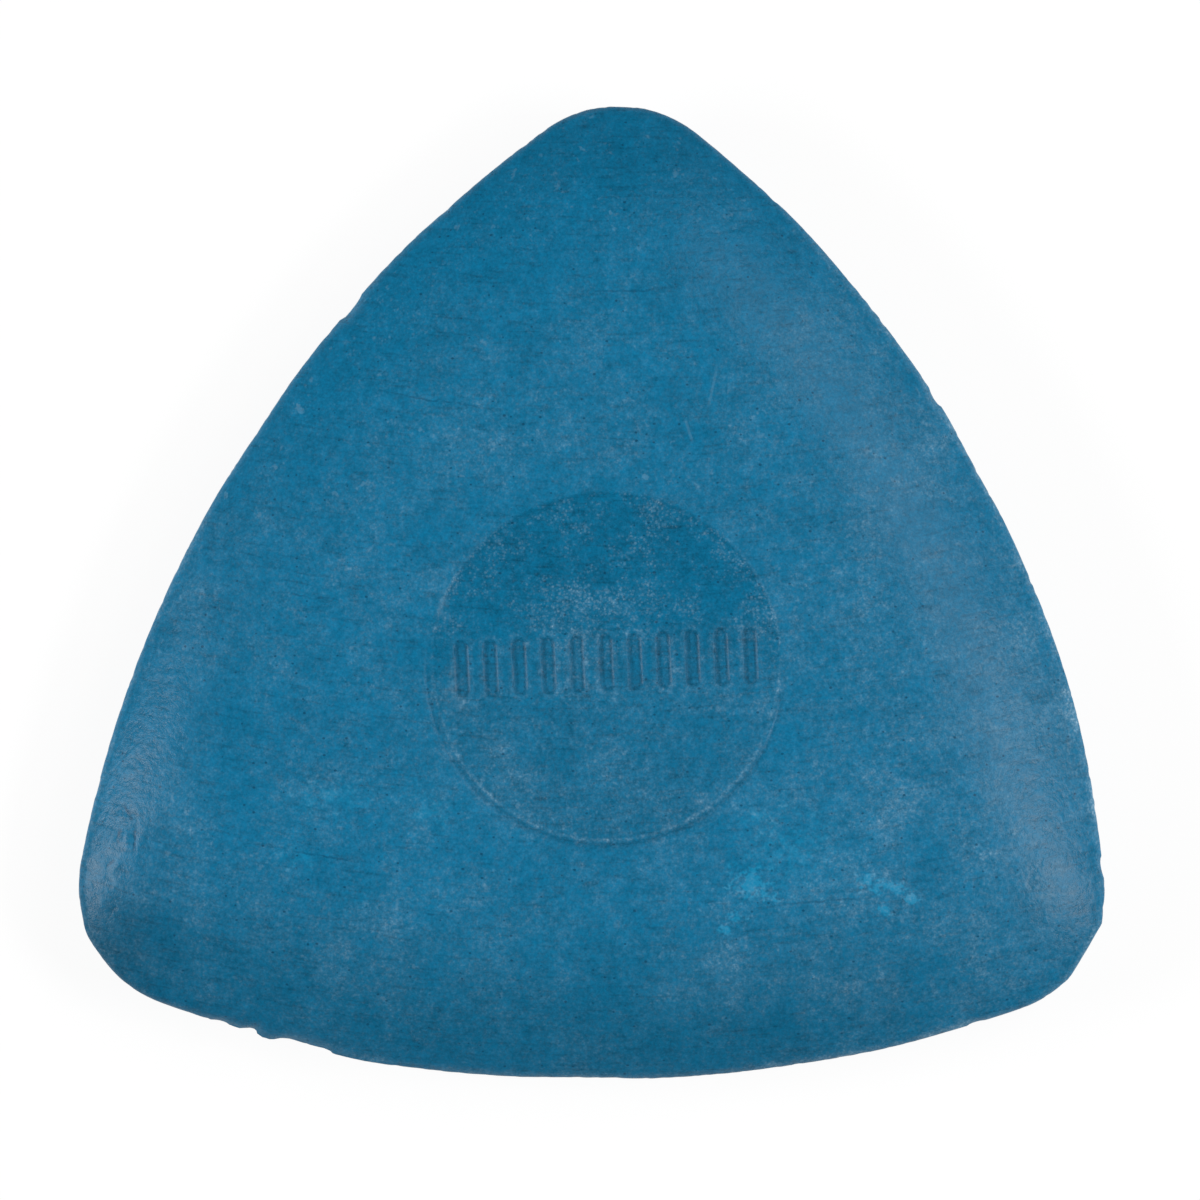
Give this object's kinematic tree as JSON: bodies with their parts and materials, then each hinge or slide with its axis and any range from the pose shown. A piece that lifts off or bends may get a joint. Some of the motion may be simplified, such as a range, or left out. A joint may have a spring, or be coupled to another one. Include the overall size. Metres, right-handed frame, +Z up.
{
  "type": "tailor chalk",
  "caption": "Flat rounded-triangle cake of pressed marking chalk, thick in the middle, with wide bevels to a thin rim, a round thumb panel with sunk grip bars, and a chipped, rubbed edge",
  "frame": {"origin": "on the surface that the cake lies on, under the middle of its box", "axes": "+Z up through the thickness, out of the face with the round panel; +X along the widest side, from the lower left corner to the lower right one; +Y towards the corner above the row of bars"},
  "size_m": [0.05, 0.0476, 0.0066],
  "materials": {
    "pressed_chalk": "matte"
  },
  "bodies": {
    "root": {"tailor_chalk": "pressed_chalk"}
  },
  "joints": []
}
